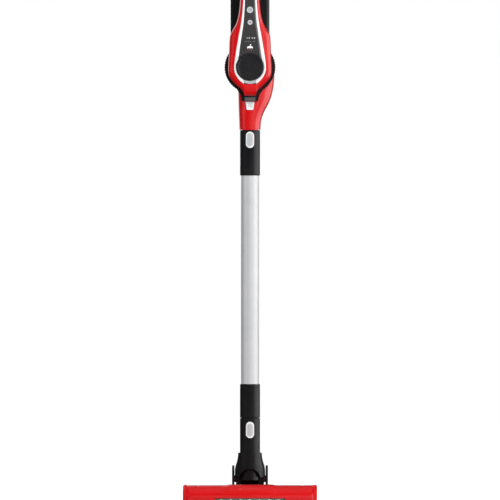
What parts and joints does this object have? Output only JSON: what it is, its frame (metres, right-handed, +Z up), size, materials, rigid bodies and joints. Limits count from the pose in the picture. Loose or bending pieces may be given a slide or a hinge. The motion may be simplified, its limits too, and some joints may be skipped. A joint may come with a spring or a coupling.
{
  "type": "cordless stick vacuum cleaner",
  "caption": "Cordless stick vacuum: battery hand unit with display and loop grip, clear dust container, push-fit wand and a swivelling motorised floor head.",
  "frame": {"origin": "on the floor, on the axis of the upright wand", "axes": "+Z up along the wand, +Y from the display side towards the battery, +X to the right of a person facing the display"},
  "size_m": [0.268, 0.236, 1.0962],
  "materials": {
    "shell_red": "glossy injection-moulded, light wear",
    "trim_white": "glossy white",
    "clip_grey": "satin grey",
    "panel_black": "piano black with lit icons",
    "cap_black": "black, fine turned rings",
    "key_grey": "satin light grey",
    "body_black": "satin black, fine grain",
    "wand_white": "satin white paint on aluminium tube",
    "cup_smoke": "clear smoked plastic",
    "lens_clear": "clear plastic",
    "steel": "brushed",
    "motor_metal": "cast and machined",
    "filter_white": "pleated filter paper",
    "grip_rubber": "soft-touch",
    "belt_rubber": "ribbed",
    "bristle_red": "nylon bristles",
    "roller_grey": "satin",
    "board_green": "printed circuit board",
    "cell_blue": "sleeved cells",
    "tab_white": "white"
  },
  "bodies": {
    "floor_head": {"head_base": "body_black", "head_cover": "body_black", "front_bumper": "grip_rubber", "headlight_lens": "lens_clear", "headlight_board": "board_green", "brush_motor": "motor_metal", "drive_belt": "belt_rubber", "belt_cover": "shell_red", "side_cover": "shell_red", "floor_lip": "grip_rubber", "glide_pads": "clip_grey", "head_screws": "steel", "axle_pins": "steel"},
    "roller": {"roller_core": "roller_grey", "roller_bristles": "bristle_red", "roller_pulley": "clip_grey"},
    "pinion": {"brush_motor_rotor": "steel"},
    "roller_lock": {"roller_lock": "key_grey"},
    "wheel_left": {"wheel_left": "body_black"},
    "wheel_right": {"wheel_right": "body_black"},
    "elbow": {"elbow_duct": "body_black", "elbow_skirt": "body_black", "pivot_pins": "steel"},
    "neck": {"neck_tube": "body_black", "neck_spring": "steel"},
    "neck_button": {"neck_button": "key_grey"},
    "wand": {"wand_tube": "wand_white", "wand_collar_upper": "body_black", "wand_collar_lower": "body_black", "wand_spring": "steel"},
    "wand_button": {"wand_button": "key_grey"},
    "dust_container": {"inlet_nose": "shell_red", "catch_tab": "tab_white", "container_shell": "cup_smoke", "cyclone_screen": "steel", "hinge_pin": "steel"},
    "container_lid": {"container_lid": "body_black"},
    "lid_latch": {"lid_latch": "shell_red"},
    "filter": {"filter_ring": "body_black", "filter_cartridge": "filter_white"},
    "hand_unit": {"top_shell": "shell_red", "trim_bezel": "trim_white", "trim_clip": "clip_grey", "display_panel": "panel_black", "motor_cap": "cap_black", "motor_housing": "body_black", "grip_left": "body_black", "grip_right": "body_black", "grip_pad": "grip_rubber", "battery_bay": "body_black", "control_board": "board_green", "fan_motor": "steel", "exhaust_filter": "filter_white"},
    "fan": {"fan_rotor": "steel"},
    "container_latch": {"container_latch": "clip_grey"},
    "power_button": {"power_button": "key_grey"},
    "mode_button": {"mode_button": "key_grey"},
    "battery": {"battery_case": "body_black", "battery_cells": "cell_blue"},
    "battery_key": {"battery_key": "shell_red"}
  },
  "joints": [
    {"name": "roller_spin", "type": "hinge", "parent": "floor_head", "child": "roller", "pos_m": [0, -0.084, 0.0245], "axis": [1, 0, 0], "continuous": true},
    {"name": "pinion_spin", "type": "hinge", "parent": "floor_head", "child": "pinion", "pos_m": [-0.08, -0.034, 0.03], "axis": [1, 0, 0], "continuous": true},
    {"name": "wheel_left_spin", "type": "hinge", "parent": "floor_head", "child": "wheel_left", "pos_m": [-0.044, 0.052, 0.016], "axis": [1, 0, 0], "continuous": true},
    {"name": "wheel_right_spin", "type": "hinge", "parent": "floor_head", "child": "wheel_right", "pos_m": [0.044, 0.052, 0.016], "axis": [1, 0, 0], "continuous": true},
    {"name": "roller_lock_turn", "type": "hinge", "parent": "floor_head", "child": "roller_lock", "pos_m": [0.124, -0.084, 0.0245], "axis": [1, 0, 0], "range_deg": [0, 60]},
    {"name": "elbow_pitch", "type": "hinge", "parent": "floor_head", "child": "elbow", "pos_m": [0, 0.032, 0.066], "axis": [-1, 0, 0], "range_deg": [0, 80]},
    {"name": "neck_swivel", "type": "hinge", "parent": "elbow", "child": "neck", "pos_m": [0, 0, 0.1], "axis": [0, 0, 1], "range_deg": [-90, 90]},
    {"name": "neck_button_press", "type": "slide", "parent": "neck", "child": "neck_button", "axis": [0, 1, 0], "range_m": [0, 0.0016], "stiffness_N_per_m": 500, "springref_m": -0.001, "deforming": ["neck_spring"]},
    {"name": "wand_pull", "type": "slide", "parent": "neck", "child": "wand", "axis": [0, 0, 1], "range_m": [0, 0.064]},
    {"name": "wand_button_press", "type": "slide", "parent": "wand", "child": "wand_button", "axis": [0, 1, 0], "range_m": [0, 0.0016], "stiffness_N_per_m": 500, "springref_m": -0.001, "deforming": ["wand_spring"]},
    {"name": "container_pull", "type": "slide", "parent": "wand", "child": "dust_container", "axis": [0, 0, 1], "range_m": [0, 0.064]},
    {"name": "lid_open", "type": "hinge", "parent": "dust_container", "child": "container_lid", "pos_m": [0, 0.076, 0.941], "axis": [1, 0, 0], "range_deg": [0, 90]},
    {"name": "lid_latch_press", "type": "slide", "parent": "dust_container", "child": "lid_latch", "axis": [0, -1, 0], "range_m": [0, 0.003], "stiffness_N_per_m": 500, "springref_m": -0.001},
    {"name": "hand_unit_pull", "type": "slide", "parent": "dust_container", "child": "hand_unit", "axis": [0, -1, 0], "range_m": [0, 0.06]},
    {"name": "filter_turn", "type": "hinge", "parent": "hand_unit", "child": "filter", "pos_m": [0, -0.02, 0.8888], "axis": [0, 1, 0], "range_deg": [0, 30]},
    {"name": "fan_spin", "type": "hinge", "parent": "hand_unit", "child": "fan", "pos_m": [0, -0.055, 0.8888], "axis": [0, 1, 0], "continuous": true},
    {"name": "container_latch_press", "type": "slide", "parent": "hand_unit", "child": "container_latch", "axis": [0, 1, 0], "range_m": [0, 0.002], "stiffness_N_per_m": 500, "springref_m": -0.001},
    {"name": "power_press", "type": "slide", "parent": "hand_unit", "child": "power_button", "axis": [0, 1, 0], "range_m": [0, 0.0012], "stiffness_N_per_m": 500, "springref_m": -0.001},
    {"name": "mode_press", "type": "slide", "parent": "hand_unit", "child": "mode_button", "axis": [0, 1, 0], "range_m": [0, 0.0012], "stiffness_N_per_m": 500, "springref_m": -0.001},
    {"name": "battery_pull", "type": "slide", "parent": "hand_unit", "child": "battery", "axis": [0, 0, 1], "range_m": [0, 0.13]},
    {"name": "battery_key_press", "type": "slide", "parent": "battery", "child": "battery_key", "axis": [0, 0, -1], "range_m": [0, 0.002], "stiffness_N_per_m": 500, "springref_m": -0.001}
  ],
  "couplings": [
    {"joint": "pinion_spin", "follows": "roller_spin", "ratio": 2}
  ]
}
